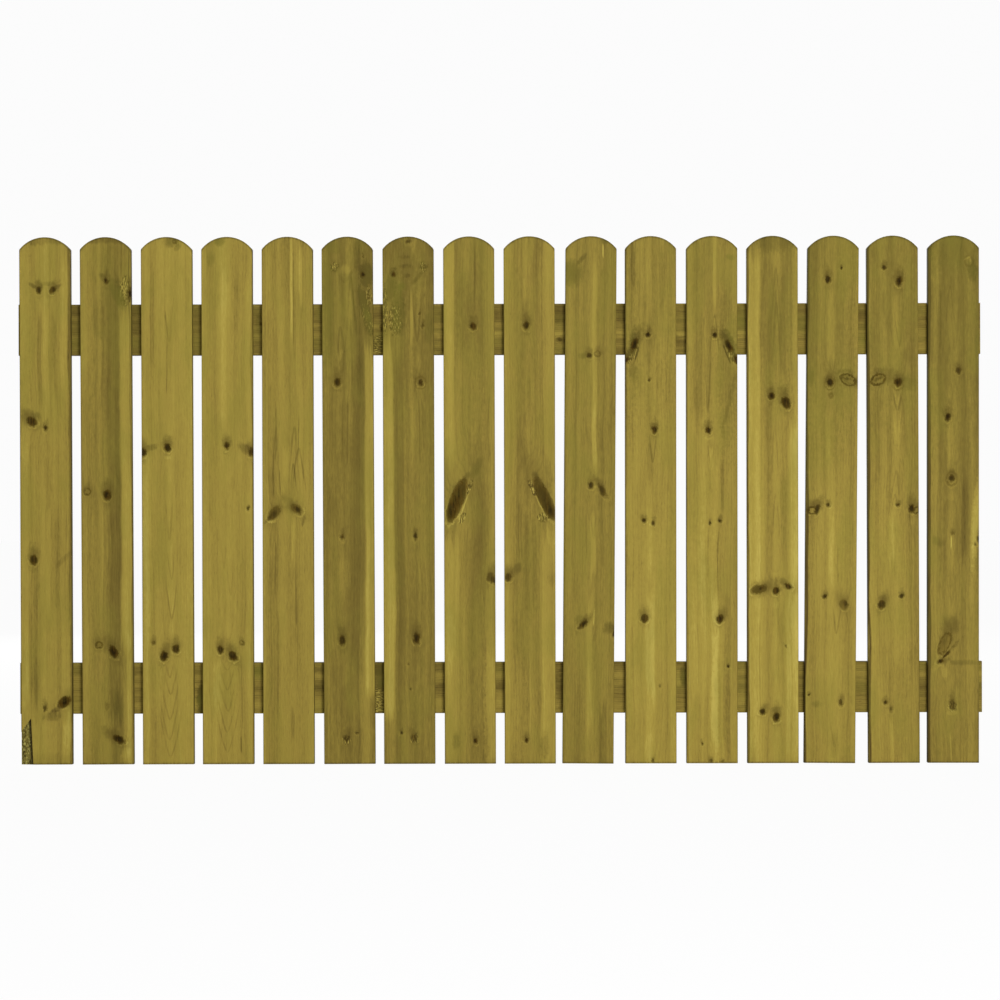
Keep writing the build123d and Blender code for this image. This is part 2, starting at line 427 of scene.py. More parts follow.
# The sawn ends drink in more of the preservative, which leaves a dark rim round the crown and foot.
ends_group, given, result = new_group("sawn ends", {"Point": "V"}, {"Soak": "F"})
crown_centre = (0.0, 0.0, PALE_HEIGHT - CROWN_RADIUS)
to_centre = put(ends_group, "VectorMath", {0: given["Point"], 1: crown_centre}, operation="SUBTRACT")
parts = put(ends_group, "SeparateXYZ", {0: to_centre.outputs[0]}).outputs
reach = calc("SQRT", calc("MULTIPLY_ADD", parts["X"], parts["X"], calc("POWER", parts["Z"], 2.0)))
rim = calc("MULTIPLY", ramp(reach, CROWN_RADIUS - 5, CROWN_RADIUS - 0.5), ramp(parts["Z"], 20, 34))
foot = ramp(parts["Z"], CROWN_RADIUS - PALE_HEIGHT + 5, CROWN_RADIUS - PALE_HEIGHT + 0.5)
ends_group.links.new(calc("MAXIMUM", rim, foot), result.inputs["Soak"])


def stand(node):
    """Where the middle of a pale's foot is, on its front face, and how far the pale leans to the right."""
    corners = [vertex.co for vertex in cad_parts[node].data.vertices]
    lowest = min(corner.z for corner in corners)
    middles = []
    for level in (0.0, 0.96):
        near = [corner for corner in corners if 0 <= corner.z - lowest - level < 0.02]
        left = min(near, key=lambda corner: corner.x)
        right = max(near, key=lambda corner: corner.x)
        middles.append((left + right) / 2)
    foot, shoulder = middles
    foot.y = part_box(node)[0].y
    return foot, math.atan2(shoulder.x - foot.x, shoulder.z - foot.z)


def pale(number, pith, taper, tone, green=0.0, **marks):
    """Gives a pale its own board of timber, lined up with the way that the pale leans."""
    node = f"pale_{number:02d}"
    foot, lean = stand(node)
    turn = (0.0, lean, 0.0)
    give(node, timber(node + "_wood", foot, turn, pith, taper, tone, green, ends=ends_group, **marks))


# First pale: knotty, with a pair of branch knots high up and wane at the lower left corner.
pale(
    1, (5, 14), 0.006, 0.56,
    knots=((-11, 900, 5, 7, -10, 0.9, 1), (15, 900, 6, 7, 20, 0.9, 1), (-26, 651, 8.5, 11, -50, 0.95, 1),
           (0.5, 638, 3.4, 5, 0, 0.95, 1), (-23, 389, 7.5, 10, 0, 0.95, 1), (34, 119, 10, 14, 52, 1, 1),
           (-3, 107, 3.2, 6, 0, 0.75, 1)),
    clouds=((-38, 830, 11, 260, 0, 0.2, 0), (38, 150, 10, 130, 0, 0.14, 0),
            (-20, 340, 9, 40, 0, -0.12, 0), (-20, 150, 9, 50, 0, -0.1, 0), (3, 912, 14, 4, 0, -0.2, 0.1),
            (-22, 908, 4, 11, -58, -0.3, 0), (24, 906, 4, 10, 62, -0.3, 0),
            (32, 388, 5, 22, 42, -0.14, 0), (10, 92, 20, 9, 0, -0.24, 0.1),
            (20, 105, 5, 15, 60, -0.35, 0), (12, 8, 40, 14, 0, -0.12, 0), (-30, 664, 9, 13, -45, -0.2, 0),
            (-17, 660, 9, 10, 30, -0.25, 0)),
    streaks=((3, 5, 640, 1020, 0.2), (-10, 4, 660, 885, -0.2), (17, 5, 690, 885, -0.17),
             (38, 6, 690, 970, 0.15), (-39, 7, 90, 640, 0.14), (-23, 8, 100, 330, -0.16),
             (5, 4, 260, 510, 0.14), (18, 8, 280, 500, -0.1), (38, 8, -20, 100, 0.24),
             # The last streak, the dark strip down the right edge, is painted shade for the shaded side face.
             (-18, 5, -20, 85, 0.12), (0, 60, 984, 1012, -0.22), (47, 2.5, -80, 1080, -0.3)),
)

# Second pale: a dark heartwood strip beside pale sapwood, with torn grain at the right edge.
pale(
    2, (-14, 16), 0.008, 0.47, 0.05,
    knots=((1, 917, 4.5, 6, 0, 0.9, 1), (47, 893, 4, 10, 0, 0.95, 1), (-36, 517, 6, 6, 0, 0.7, 0.5),
           (1, 511, 8, 10, 0, 1, 1), (-16, 227, 6, 6, 0, 0.8, 0.55), (11.5, 214, 8.5, 13, -30, 1, 1),
           (20, 48.5, 7.5, 12, -58, 1, 1), (-1, 110, 3, 4, 0, 0.3, 0.4)),
    clouds=((-38, 500, 13, 620, 0, 0.12, 0), (0, 830, 10, 190, 0, -0.1, 0),
            (22, 893, 10, 30, -25, -0.24, 0.3), (-5, 924, 5, 9, -40, -0.2, 0),
            (36, 25, 8, 22, 25, 0.2, 0), (-14, 840, 12, 40, 0, -0.08, 0.1), (35, 899, 9, 18, 0, 0.32, 0),
            (45, 888, 4, 12, 0, -0.5, 0), (26, 905, 4, 24, -12, -0.2, 0.1)),
    streaks=((9, 18, 60, 1010, -0.14), (16, 12, 60, 910, -0.08), (19, 11, -80, 150, -0.2),
             # The dark strip down the right edge, 47 mm across, is painted shade for the shaded side face.
             (47, 1.5, -80, 1080, -0.3), (38, 11, 200, 880, 0.3), (43, 6, -80, 260, 0.28),
             (-30, 12, 0, 480, 0.06), (0, 60, 985, 1012, -0.2), (32, 1.5, 925, 1000, -0.2),
             (-8, 1, 280, 500, 0.16), (-5, 1, 520, 640, -0.16)),
    torn=((38, 897, 11, 26, 0),),
)

# Third and fourth pales: sawn from one log and turned face to face, so their knots mirror each other.
pale(
    3, (4, 20), 0.012, 0.65,
    knots=((16, 991, 3, 3, 0, 0.5, 0.3), (-46, 592, 7, 9, 0, 0.95, 1), (1, 601, 6.5, 8, 0, 1, 1),
           (-27, 231, 4, 4, 0, 0.65, 1), (-7, 206, 7.5, 10, 15, 1, 1), (15, 219, 7, 8, 0, 0.95, 1)),
    clouds=((-38, 430, 10, 200, 0, 0.15, 0), (38, 450, 10, 360, 0, 0.12, 0),
            (-18, 210, 9, 150, 0, 0.12, 0), (10, 991, 14, 11, 0, -0.3, 0.3),
            (22, 980, 9, 5, -50, -0.22, 0.2), (-32, 600, 6, 15, 72, -0.34, 0), (1, 582, 7, 4, 0, 0.2, 0),
            (-27, 240, 3, 6, 0, -0.15, 0), (6, 250, 5, 16, 0, 0.1, 0)),
    streaks=((4, 5, 820, 1000, 0.08), (-27, 4, 750, 960, -0.14), (0, 0.9, 700, 840, -0.25),
             (16, 2, 500, 900, -0.06)),
    flames=((4, 800, 9, 90, 1.3, -0.25), (5, 425, 7, 90, 1.3, -0.28), (7, 350, 8, 65, 1.1, -0.24),
            (6, 275, 12, 90, 1.4, -0.3), (6, 285, 9, 70, 1.1, 0.16), (3, 164, 8, 32, 1.3, -0.28),
            (4, 132, 14, 55, 1.4, -0.32), (3, 84, 17, 75, 1.4, -0.3), (2, 46, 21, 90, 1.3, -0.24),
            (4, 14, 26, 110, 1.3, -0.24)),
)
pale(
    4, (-4, 20), 0.012, 0.63,
    knots=((-1, 604, 5.5, 7, 0, 0.95, 1), (46, 592, 6, 8, 0, 0.85, 1), (39.5, 485, 2, 3, 0, 0.8, 1),
           (-14, 218, 6, 8, 0, 0.95, 1), (9, 206, 7.5, 10, -25, 1, 1), (27, 230, 4, 4, 0, 0.6, 0.5)),
    clouds=((-18, 150, 10, 60, 0, 0.14, 0), (20, 950, 30, 60, 0, -0.08, 0),
            (-13, 991, 10, 8, -30, -0.3, 0.3), (-30, 957, 8, 14, 0, -0.1, 0.1),
            (36, 597, 9, 18, -55, -0.34, 0), (0, 255, 6, 20, 0, 0.08, 0)),
    streaks=((24, 0.8, 18, 55, -0.5), (27, 1, 60, 215, -0.18), (-6, 5, 620, 960, 0.12),
             # The dark strip down the right edge, 47.5 mm across, is painted shade for the shaded side face.
             (20, 7, 620, 940, -0.06), (47.5, 1.5, -80, 1080, -0.25)),
    flames=((0, 178, 12, 22, 1.2, -0.22), (0, 140, 14, 48, 1.3, -0.28), (0, 100, 16, 62, 1.3, -0.26),
            (-2, 60, 20, 80, 1.2, -0.22), (-2, 22, 25, 100, 1.2, -0.2), (5, 320, 7, 70, 1, -0.14),
            (-7, 370, 5, 60, 1, -0.14)),
)

# Fifth pale: a moustache of two branch knots at mid-height, under bright streaks.
pale(
    5, (-3, 12), 0.004, 0.51,
    knots=((-25.5, 477, 9.5, 16, 38, 0.8, 0.8), (-28, 473, 6.5, 11, 38, 0.85, 0.95),
           (16, 484, 8, 13, -52, 0.8, 0.8), (18, 483, 5.5, 9, -52, 0.9, 1)),
    clouds=((18, 950, 8, 50, 0, 0.12, 0), (-4, 940, 12, 60, 0, -0.1, 0), (-4, 496, 9, 7, 0, 0.2, 0),
            (30, 463, 12, 3, -75, -0.3, 0), (-39, 463, 3, 9, 40, -0.3, 0), (-30, 460, 8, 3, 0, 0.25, 0)),
    streaks=((8, 2.2, 770, 1030, 0.35), (26, 3, 860, 985, 0.22), (12.5, 1, 770, 1000, -0.25),
             (8, 3, 375, 470, 0.16), (-22, 1.2, 560, 672, -0.18), (21, 1.2, 570, 672, -0.25),
             (13, 1.2, 240, 380, -0.22), (8, 3, 40, 120, -0.15), (-25, 1.2, 300, 430, -0.18),
             (-20, 1, 60, 300, -0.16), (-33, 1, 100, 400, -0.12), (0, 8, 530, 600, 0.1),
             (-15, 1, 505, 560, -0.25), (-28, 1, 505, 560, -0.2), (-36, 6, 700, 980, 0.08)),
    flames=((13, 640, 12, -145, 1.2, -0.28), (22, 600, 14, -98, 1.1, -0.25),
            (-22, 640, 8, -145, 1.2, -0.22), (12, 570, 6, -60, 1, -0.25)),
)

# Sixth and seventh pales: a mirrored pair, dark in the middle with sapwood on their facing edges.
pale(
    6, (-10, 22), 0.012, 0.39, 0.08,
    knots=((30, 928, 4, 5, 0, 0.95, 1), (30, 963, 1.8, 1.8, 0, 0.75, 1), (-19.5, 724, 6, 8, 0, 0.95, 1),
           (-11, 431, 3, 5.5, 0, 0.9, 1), (-13, 235, 6, 10, 0, 0.95, 1), (-6, 48, 5, 7, 20, 0.75, 0.9),
           (15, 59, 2, 2, 0, 0.8, 1)),
    clouds=((37, 928, 13, 22, 0, -0.34, 0.2), (33, 870, 8, 36, -14, -0.3, 0.25),
            (-40, 870, 12, 120, 0, -0.04, 0.35), (-4, 938, 9, 9, 0, 0.2, 0),
            (-13, 775, 3, 14, 15, 0.16, 0), (-30, 985, 20, 14, 40, -0.05, 0.3),
            (-9, 355, 12, 40, 0, 0.1, 0), (-24, 943, 10, 11, 0, -0.12, 0.1),
            (20, 965, 7, 30, 0, -0.12, 0), (3, 870, 5, 36, 0, 0.12, 0), (0, 870, 60, 150, 0, -0.05, 0.06),
            (40, 838, 9, 26, -10, -0.3, 0.2)),
    streaks=((41, 9, 110, 815, 0.32), (19, 12, 150, 800, -0.09), (-2, 1.2, 560, 690, -0.2),
             (-12, 1.2, 560, 690, -0.16), (8, 2, 680, 860, -0.14)),
    flames=((8, 925, 11, -150, 1.5, -0.24), (-13, 830, 7, -60, 1.2, -0.24), (-12, 740, 9, 80, 1.1, -0.18),
            (-4, 912, 17, 30, 2, -0.14), (-4, 922, 12, 20, 2, 0.1)),
    torn=((41, 888, 6, 19, 0), (39, 842, 8, 30, -16), (-6, 46, 8, 9, 0), (-24, 943, 8, 9, 0)),
)
pale(
    7, (10, 22), 0.012, 0.36, 0.08,
    knots=((-27.5, 928, 4, 5, 0, 0.95, 1), (-2, 990, 1.8, 2.5, 0, 0.6, 1), (3, 990, 1.8, 2.5, 0, 0.6, 1),
           (23, 723, 4.5, 6, 0, 0.95, 1), (23, 723, 10, 12, 0, 0.4, 0.1),
           (12.5, 431.5, 3, 5.5, 0, 0.9, 1), (14, 238, 6.3, 11, 0, 0.95, 1),
           (9, 50, 5.5, 7.5, -20, 0.7, 0.85), (-15, 59, 2.2, 2.5, 0, 0.9, 1),
           (28, 832, 2.6, 4, 0, 0.6, 1), (22, 855, 1.8, 2, 0, 0.5, 1), (2, 142, 1.6, 1.6, 0, 0.5, 1),
           (-2, 189, 1.6, 1.6, 0, 0.5, 1)),
    clouds=((-32, 908, 10, 30, 10, -0.24, 0.15), (-18, 858, 13, 40, 0, -0.24, 0.3),
            (-5, 944, 11, 4, 0, -0.16, 0), (-8, 961, 10, 4, 0, -0.12, 0), (-3, 926, 7, 4.5, 0, -0.14, 0),
            (29, 942, 9, 11, 0, -0.1, 0.1), (-12, 905, 9, 8, 0, -0.1, 0.35), (9, 985, 6, 20, 0, 0.14, 0),
            (6, 850, 5, 60, 3, 0.14, 0), (2, 850, 16, 180, 0, -0.13, 0), (0, 960, 46, 70, 0, -0.08, 0),
            (20, 760, 6, 16, 0, 0.1, 0), (18, 922, 4, 16, 40, -0.2, 0), (40, 830, 10, 30, 0, -0.1, 0.2)),
    streaks=((-39, 11, 70, 815, 0.38), (-19, 9, 320, 800, -0.07), (20, 1.2, 560, 700, -0.2),
             (27, 1, 600, 700, -0.16), (5, 3, 560, 900, 0.1), (2, 1.2, 790, 905, -0.2)),
    flames=((16, 800, 10, 120, 1.2, -0.22), (14, 395, 8, -80, 1, 0.1)),
    torn=((-44, 862, 5, 46, 0), (-24, 842, 13, 30, 0), (9, 48, 8, 9, 0), (29, 942, 7, 9, 0)),
)

# Eighth and ninth pales: a mirrored pair with one long branch sawn along its length in each.
pale(
    8, (8, 16), 0.006, 0.39, 0.05,
    knots=((8, 830, 6, 7, 0, 1, 1), (-24, 500, 12, 40, 20, 1, 0.94), (-24, 500, 12, 40, 20, 1, 0.2),
           (-31, 485, 10.5, 24, 18, 1, 1), (39, 355, 6.5, 9, 20, 0.8, 0.85),
           (43, 350, 4.5, 7, 0, 0.85, 1), (47, 346, 2.5, 4, 0, 0.9, 1), (10, 43.5, 4.5, 5.5, 0, 1, 1)),
    clouds=((-27, 42, 7, 18, 0, -0.28, 0.1), (-10, 490, 1.3, 34, 20, 0.45, 0),
            (-10, 850, 16, 80, 0, -0.12, 0), (18, 660, 11, 120, 0, 0.15, 0), (40, 90, 14, 150, 0, 0.2, 0),
            (18, 150, 12, 190, 0, 0.12, 0), (-38, 230, 12, 60, 0, 0.12, 0),
            (14, 562, 8, 20, 25, -0.14, 0.2), (-5, 545, 5, 9, 25, -0.2, 0.1),
            (-24, 506, 8, 18, 25, 0.1, 0.6)),
    streaks=((-37, 11, 555, 1030, 0.24), (43, 5, -20, 1030, 0.14), (-36, 15, -20, 455, 0.26),
             (12, 1.3, 860, 1000, -0.2), (5, 2, 580, 760, 0.1)),
    torn=((0, 524, 4, 14, 20), (-14, 466, 5, 12, 25)),
)
pale(
    9, (-8, 16), 0.006, 0.42,
    knots=((-5, 831, 6, 8, 0, 1, 0.95), (28.5, 502, 10.5, 39, -24, 1, 0.88),
           (28.5, 502, 10.5, 39, -24, 1, 0.2), (38, 481, 8, 16, -24, 0.95, 1),
           (-41, 354, 7, 8, 0, 0.95, 0.9), (-43, 353, 4.5, 5, 0, 0.8, 1), (-7, 45, 4.2, 5, 0, 1, 1)),
    clouds=((28, 35, 8, 26, 0, -0.26, 0.1), (-24, 370, 8, 12, 40, -0.2, 0.1),
            (14, 503, 1.3, 36, -25, 0.45, 0), (11, 545, 6, 10, -27, -0.2, 0.1),
            (42, 480, 10, 70, 0, 0.2, 0), (0, 380, 12, 110, 0, -0.14, 0), (-18, 80, 12, 130, 0, 0.16, 0),
            (42, 350, 8, 14, 0, -0.12, 0)),
    streaks=((38, 10, 540, 1030, 0.2), (-43, 5, -20, 1030, 0.16), (-7, 5, 860, 1030, 0.18),
             (36, 14, -20, 452, 0.24), (-4, 3, 560, 820, 0.1), (0, 1.5, 40, 210, 0.14),
             (-20, 1.2, 380, 500, -0.18), (-15, 1.2, 380, 500, -0.15)),
    torn=((5, 522, 4.5, 20, -22), (26, 467, 11, 9, -24)),
)

# Tenth pale: set well out of true, with a pale strip up its middle.
pale(
    10, (7, 12), 0.004, 0.44, 0.1,
    knots=((-2, 774, 5, 5, 0, 0.85, 1), (14, 777, 5.5, 5, 0, 0.55, 0.4), (2.3, 528, 5, 6, 0, 0.9, 1),
           (24, 518, 5, 14, -32, 0.85, 0.92), (-11, 264, 5, 10, 40, 0.95, 1),
           (47, 247, 2.5, 6, 0, 0.95, 1)),
    clouds=((3, 60, 9, 160, 0, 0.1, 0), (-38, 930, 22, 24, 0, -0.22, 0.3),
            (-17, 957, 4, 14, 42, -0.24, 0.1), (26, 992, 9, 6, 0, -0.12, 0.2),
            (-14, 773, 8, 6, 0, -0.2, 0.1), (38, 257, 12, 10, -40, -0.24, 0.1),
            (-16, 272, 12, 10, 0, -0.14, 0.1), (12, 525, 4, 3, 0, 0.25, 0)),
    streaks=((8, 4, 545, 960, 0.18), (9, 4, 545, 700, 0.14), (7, 4.5, 340, 490, 0.22),
             (3, 5, 40, 338, 0.16), (28, 7, -40, 130, -0.18), (23, 1.5, 958, 988, 0.5),
             (10, 1.2, 255, 295, 0.4), (-5, 1, 380, 480, -0.14)),
    flames=((8, 425, 5, 60, 1, -0.2), (8, 75, 7, 120, 1, 0.14)),
)

# Eleventh and twelfth pales: a mirrored pair with a half-shown branch at their outer edges.
pale(
    11, (-2, 16), 0.008, 0.54,
    knots=((-5, 814, 4.2, 5, 0, 1, 1), (-31, 794, 6.5, 14, 22, 1, 1), (-46, 765, 4, 7, 20, 1, 1),
           (-3, 727, 2, 2, 0, 0.85, 1), (7, 633, 5, 6, 0, 1, 1), (-13, 461, 4.2, 4.5, 0, 0.95, 1),
           (5, 456, 3.2, 4, 0, 0.9, 1), (-12, 275, 6.8, 8, 0, 0.95, 1), (17, 146, 1.6, 2, 0, 0.5, 1),
           (4, 6, 2.4, 3, 0, 0.7, 1)),
    # The broad clouds at 980 and 130 mm up are painted light and shade, darker above and lighter below; the
    # upper one also adds a green stain.
    clouds=((-5, 980, 75, 330, 0, -0.13, 0.1), (-40, 800, 14, 220, 0, -0.12, 0),
            (15, 130, 80, 320, 0, 0.15, 0), (-34, 790, 9, 26, 22, -0.3, 0.2),
            (-26, 778, 1.8, 18, 16, -0.5, 0), (-42, 776, 5, 15, 20, -0.45, 0.1),
            (-33, 815, 5, 16, 15, -0.2, 0.1), (-32, 740, 10, 16, -20, -0.1, 0.1),
            (-11, 812, 6, 5, 0, -0.15, 0)),
    streaks=((-33, 4.5, 900, 1000, -0.15), (22, 6, 850, 1000, -0.12), (-3, 5, 820, 1020, 0.14),
             # The dark strip down the left edge, -47.5 mm across, is painted shade for the shaded side face.
             (-47.5, 1.5, -80, 1080, -0.25), (5, 6, 650, 800, 0.12), (-3, 5, 340, 560, 0.16),
             (0, 8, 100, 340, 0.16), (-6, 6, -20, 120, 0.08)),
    flames=((3, 570, 7, 60, 1.1, -0.2),),
    torn=((-39, 774, 9, 17, 22),),
)
pale(
    12, (4, 18), 0.01, 0.55,
    knots=((5, 813, 4.4, 5, 0, 1, 1), (33, 791, 6, 13, -28, 1, 1), (46, 765, 4, 7, -20, 1, 1),
           (-7, 632, 5.8, 6.5, 0, 1, 1), (-4, 456, 2.8, 3.5, 0, 0.85, 1), (15, 460, 4, 3.5, 0, 0.9, 1),
           (15, 274, 6.8, 8, 20, 1, 1), (30, 183, 2, 2.2, 0, 1, 1), (-19, 38, 2, 2.4, 0, 0.8, 1),
           (-2, 5, 3.4, 3, 0, 0.7, 1), (19, 4, 3, 2, 0, 0.5, 1)),
    # The broad clouds at 960 and 130 mm up are painted light and shade, darker above and lighter below; the
    # upper one also adds a green stain.
    clouds=((10, 960, 75, 330, 0, -0.1, 0.06), (30, 740, 20, 160, 0, -0.12, 0.1),
            (-18, 130, 42, 340, 0, 0.17, 0), (4, 60, 9, 130, 0, 0.14, 0),
            (32, 800, 9, 24, -25, -0.3, 0.3), (28, 776, 1.8, 17, -22, -0.5, 0),
            (42, 776, 5, 15, -22, -0.4, 0.1), (-7, 617, 7, 4, 0, 0.2, 0),
            (34, 690, 4, 60, 14, -0.12, 0.1), (36, 960, 8, 6, 0, -0.1, 0.2)),
    # The dark strip down the left edge, -47.5 mm across, is painted shade for the shaded side face.
    streaks=((4, 3.2, 850, 1020, 0.16), (-47.5, 1.5, -80, 1080, -0.25), (18, 3, 460, 590, -0.16),
             (-23, 15, 100, 672, 0.1), (5, 7, 20, 340, 0.2), (28, 6, 0, 340, -0.15),
             (-2, 4, 555, 605, 0.2), (12, 1.2, 300, 450, -0.25), (-6, 1, 340, 450, -0.2),
             (22, 3, 500, 680, -0.1)),
    flames=((5, 850, 10, -85, 1.2, -0.24), (5, 845, 7, -80, 1, 0.18), (-8, 666, 7, 140, 1.1, -0.24),
            (-2, 560, 7, 60, 1, -0.2), (5, 240, 9, 60, 1, -0.16)),
    torn=((39, 775, 8, 16, -25),),
)

# Thirteenth pale: heart in the middle between broad sapwood edges, with knots in rows.
pale(
    13, (5, 14), -0.012, 0.51,
    knots=((-2, 697, 6, 6.8, 0, 1, 1), (25, 684, 8.5, 12, -18, 1, 1), (-26, 330, 8.5, 15, 70, 0.95, 0.82),
           (-22, 332, 4.5, 8, 68, 0.9, 1), (6, 327, 6.5, 7.5, 0, 1, 1), (28.5, 336, 5, 8, -55, 0.95, 1),
           (-20, 98, 5.5, 6, 30, 0.95, 1), (6, 88, 6.5, 9, 0, 1, 1), (24, 222, 1.5, 3, -40, 0.5, 1)),
    # The broad clouds at 990 and 220 mm up are painted light and shade, darker above and lighter below; the
    # upper one also adds a green stain.
    clouds=((5, 990, 75, 300, 0, -0.09, 0.12), (42, 800, 12, 150, 0, -0.1, 0),
            (0, 220, 75, 320, 0, 0.1, 0), (0, 995, 48, 26, 0, -0.16, 0.1), (25, 702, 5, 10, 0, -0.2, 0),
            (6, 343, 3, 10, 0, -0.2, 0), (-30, 330, 16, 10, 70, -0.2, 0.1), (5, 102, 7, 5, 0, -0.2, 0.1)),
    # The dark strip down the left edge, -47.5 mm across, is painted shade for the shaded side face.
    streaks=((-36, 12, -20, 990, 0.26), (44, 6, 560, 990, 0.1), (-47.5, 1.5, -80, 1080, -0.5),
             (40, 9, 320, 660, 0.22), (37, 12, -20, 340, 0.26), (12, 16, 720, 960, -0.1),
             (20, 6, 350, 560, -0.12), (14, 6, 130, 300, -0.12), (-26, 1.2, 60, 290, -0.16)),
    flames=((9, 875, 9, -150, 1.2, -0.22), (8, 940, 12, -170, 1.1, -0.16), (5, 512, 9, -110, 1.1, -0.18),
            (4, 640, 8, -120, 1, -0.14)),
)

# Fourteenth and fifteenth pales: a mirrored pair with ring-shaped knots. The fourteenth is out of true.
pale(
    14, (3, 18), 0.01, 0.47,
    knots=((-5, 720, 9.5, 11.5, 0, 0.35, 0.2), (-10, 917, 5.5, 8, 0, 0.95, 1),
           (16, 939, 1.9, 1.9, 0, 1, 1), (-5, 722, 6.5, 7.5, 0, 1, 1),
           (30, 727, 9.5, 14.5, 112, 0.95, 0.25), (26, 729, 2.6, 7, 112, 0.6, 0.9),
           (-36, 479, 9, 6.5, 0, 0.95, 0.2), (-27, 481, 5, 9, 20, 0.9, 1), (-6, 490, 3.2, 3.4, 0, 0.9, 1),
           (-11, 316, 4.2, 4.5, 0, 0.9, 1), (25, 301, 8.5, 10, -20, 0.8, 0.8),
           (27, 303, 5, 6.5, -20, 0.85, 1), (-40, 130, 2, 2, 0, 0.9, 1), (20, 115, 3.6, 6, 0, 0.8, 1),
           (-2, 697, 3, 4, 0, 0.4, 0.3)),
    # The first two clouds, at 900 and 180 mm up, are painted light and shade, darker above and lighter below;
    # the upper one also adds a green stain.
    clouds=((-14, 900, 60, 330, 0, -0.13, 0.2), (-10, 180, 80, 340, 0, 0.14, 0),
            (30, 727, 17, 13, 22, -0.1, 0), (-25, 112, 9, 7, 0, -0.16, 0.1),
            (-42, 730, 8, 16, 0, -0.14, 0.2), (-28, 493, 8, 10, 0, -0.2, 0),
            (28, 741, 14, 7, 0, -0.16, 0), (8, 35, 8, 24, 0, -0.1, 0.1), (34, 724, 2.5, 8, 112, 0.22, 0)),
    # The dark strip down the left edge, -47 mm across, is painted shade for the shaded side face.
    streaks=((-1, 5, 330, 480, 0.13), (-47, 2, -80, 1080, -0.6), (-3, 7, 740, 890, 0.12),
             (-8, 4, 560, 660, 0.1), (12, 1.2, 330, 420, -0.18)),
    flames=((10, 245, 8, 60, 1.3, -0.26), (2, 480, 9, -70, 1, -0.16), (0, 735, 8, 50, 1, -0.18),
            (10, 30, 9, 60, 1, -0.16)),
)
pale(
    15, (3, 18), 0.01, 0.45,
    knots=((10, 719, 9.5, 11.5, 0, 0.35, 0.2), (-16, 940, 4, 4, 0, 0.9, 1), (13, 914, 6.5, 9, 0, 1, 1),
           (-28, 727, 9.5, 13.5, 65, 0.95, 0.25), (-27, 729, 2.6, 6, 65, 0.55, 0.9),
           (10, 722, 7.5, 8, 0, 1, 1), (9, 490, 3.4, 3.6, 0, 0.9, 1), (35, 483, 6.5, 8.5, 0, 0.95, 1),
           (43, 479, 6, 6, 0, 0.8, 0.15), (-23, 301, 7, 8.5, 25, 0.95, 0.95),
           (15, 317, 4.3, 4, 0, 0.9, 1), (-16, 115, 4.2, 4.2, 0, 0.9, 1), (-6, 102, 2.4, 4, 0, 0.55, 1)),
    # The first two clouds, at 950 and 200 mm up, are painted light and shade, darker above and lighter below;
    # the upper one also adds a green stain.
    clouds=((-12, 950, 60, 330, 0, -0.09, 0.2), (-18, 200, 42, 330, 0, 0.14, 0),
            (-28, 727, 16, 13, -25, -0.1, 0), (30, 720, 14, 14, 0, -0.12, 0.1),
            (-26, 743, 11, 7, 0, -0.16, 0), (-20, 311, 8, 8, 0, -0.2, 0), (38, 462, 5, 10, 20, 0.1, 0),
            (-24, 725, 2.5, 7, 65, 0.22, 0)),
    # The dark strip down the left edge, -47 mm across, is painted shade for the shaded side face.
    streaks=((6, 5, 780, 890, 0.15), (-47, 2, -80, 1080, -0.6), (-3, 5, 360, 480, 0.16),
             (-5, 3.5, -20, 90, 0.24), (16, 12, -20, 200, -0.12), (25, 4, 560, 640, -0.06),
             (-16, 3, 840, 900, -0.1)),
    flames=((7, 668, 9, 40, 1.4, -0.32), (6, 680, 6, 30, 1.2, 0.2), (6, 603, 8, 70, 2.5, 0.26),
            (6, 600, 11, 75, 1, -0.16), (5, 555, 9, -70, 1.2, -0.16), (12, 790, 10, 90, 1, -0.22),
            (-4, 365, 8, 70, 1.2, 0.16), (4, 510, 7, -40, 1, -0.2), (-4, 265, 9, 40, 1, -0.14)),
)

